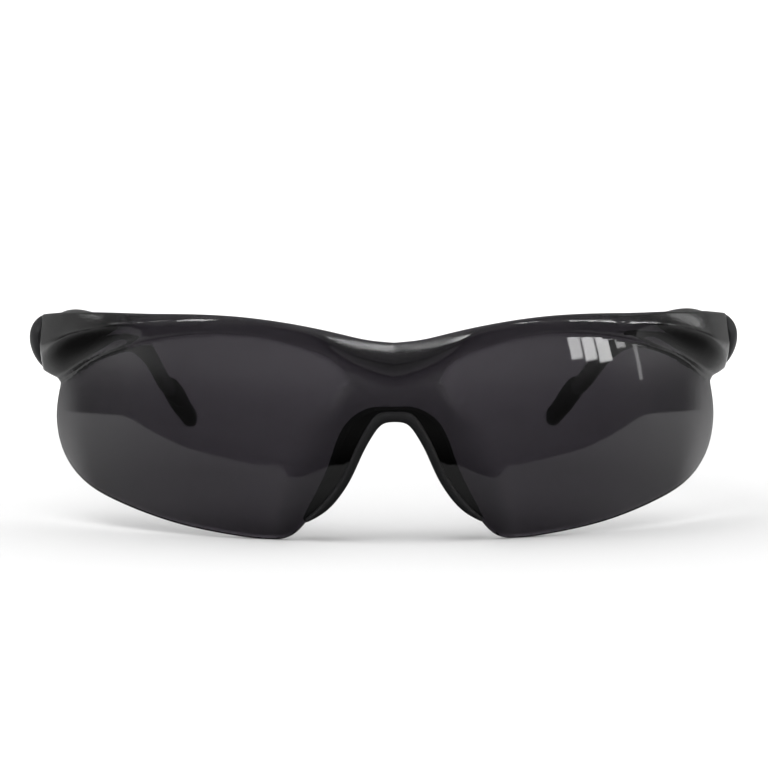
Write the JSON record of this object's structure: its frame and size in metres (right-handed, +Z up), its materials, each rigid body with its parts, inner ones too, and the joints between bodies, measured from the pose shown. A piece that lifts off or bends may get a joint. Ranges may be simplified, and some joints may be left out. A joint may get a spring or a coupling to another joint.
{
  "type": "safety glasses",
  "caption": "Wrap-around safety glasses: one smoked polycarbonate shield with brow bar, soft nose saddle, and folding temples with soft tips.",
  "frame": {"origin": "On the mirror plane, at the height of the underside of the crown of the nose saddle's arch, 5 mm behind the lens's foremost point.", "axes": "+Z up as worn, -Y forwards in the direction the wearer looks, +X towards the wearer's left. The mirror plane is X = 0, and Y = 0 lies 5 mm behind the lens's foremost point."},
  "size_m": [0.1502, 0.1672, 0.0435],
  "materials": {
    "smoked_polycarbonate": "smoke-tinted clear polycarbonate, polished",
    "black_soft_rubber": "matte soft-touch rubber",
    "black_plastic": "satin black nylon",
    "screw_steel": "turned stainless steel",
    "nut_brass": "plain brass"
  },
  "bodies": {
    "front": {"front_shield": "smoked_polycarbonate", "nose_saddle": "black_soft_rubber", "left_hinge_screw": "screw_steel", "right_hinge_screw": "screw_steel", "left_hinge_nut": "nut_brass", "right_hinge_nut": "nut_brass"},
    "left_temple": {"left_temple_arm": "smoked_polycarbonate", "left_temple_cover": "black_plastic", "left_temple_tip": "black_soft_rubber"},
    "right_temple": {"right_temple_arm": "smoked_polycarbonate", "right_temple_cover": "black_plastic", "right_temple_tip": "black_soft_rubber"}
  },
  "joints": [
    {"name": "left_temple_fold", "type": "hinge", "parent": "front", "child": "left_temple", "pos_m": [0.0668, 0.0472, 0.014], "axis": [0, 0, 1], "range_deg": [0, 90]},
    {"name": "right_temple_fold", "type": "hinge", "parent": "front", "child": "right_temple", "pos_m": [-0.0668, 0.0472, 0.014], "axis": [0, 0, -1], "range_deg": [0, 84]}
  ]
}
